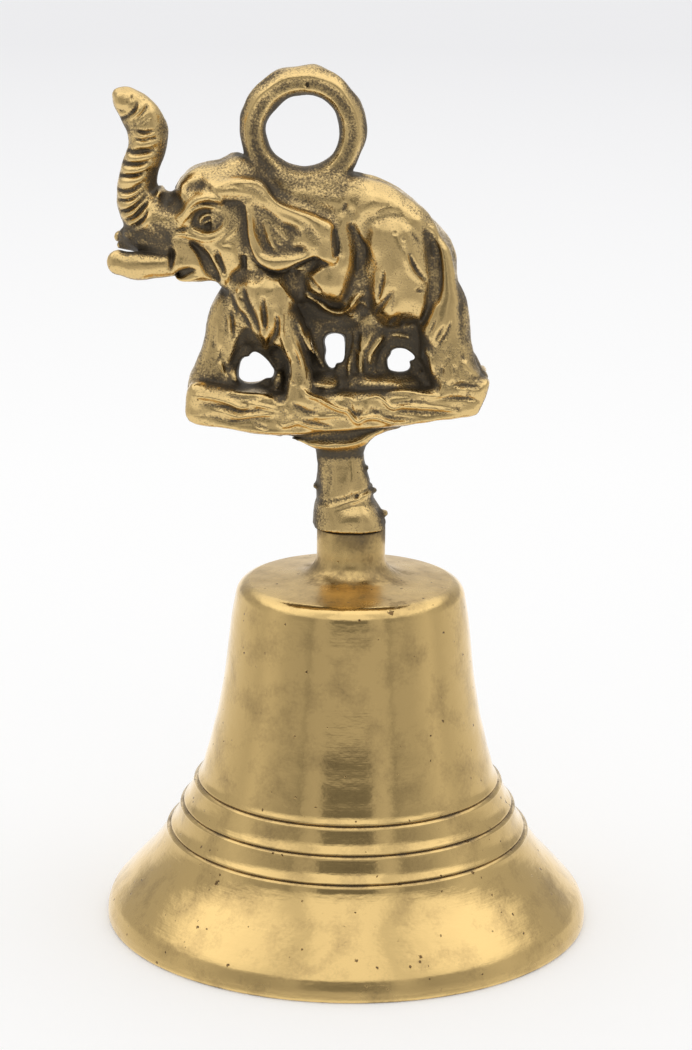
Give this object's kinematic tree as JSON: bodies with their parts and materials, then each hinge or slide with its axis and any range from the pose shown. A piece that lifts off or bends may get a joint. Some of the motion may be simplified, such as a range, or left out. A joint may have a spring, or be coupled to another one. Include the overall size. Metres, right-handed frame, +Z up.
{
  "type": "brass hand bell",
  "caption": "Small turned brass bell with a cast elephant handle, a hanging ring and a clapper that swings inside.",
  "frame": {"origin": "centre of the plane that the bell's lip rests on", "axes": "+Z up along the bell's axis, -X the way the elephant faces, -Y the side of the elephant that carries the deeper relief"},
  "size_m": [0.076, 0.076, 0.1346],
  "materials": {
    "turned_brass": "satin, turned and lightly polished, with small casting pits",
    "cast_brass": "cast, polished on the high points, dark patina in the hollows",
    "hardware_brass": "plain drawn and turned brass, lightly tarnished"
  },
  "bodies": {
    "bell": {"bell_body": "turned_brass", "elephant_handle": "cast_brass", "eyebolt": "hardware_brass", "crown_washer": "hardware_brass", "crown_nut": "hardware_brass"},
    "clapper_link": {"clapper_link": "hardware_brass"},
    "clapper": {"clapper_rod": "hardware_brass", "clapper_ball": "hardware_brass"}
  },
  "joints": [
    {"name": "link_swing", "type": "hinge", "parent": "bell", "child": "clapper_link", "pos_m": [0, 0, 0.0401], "axis": [0, 1, 0], "range_deg": [-34, 34]},
    {"name": "clapper_swing", "type": "hinge", "parent": "clapper_link", "child": "clapper", "pos_m": [0, 0, 0.0342], "axis": [1, 0, 0], "range_deg": [-12, 12]}
  ]
}
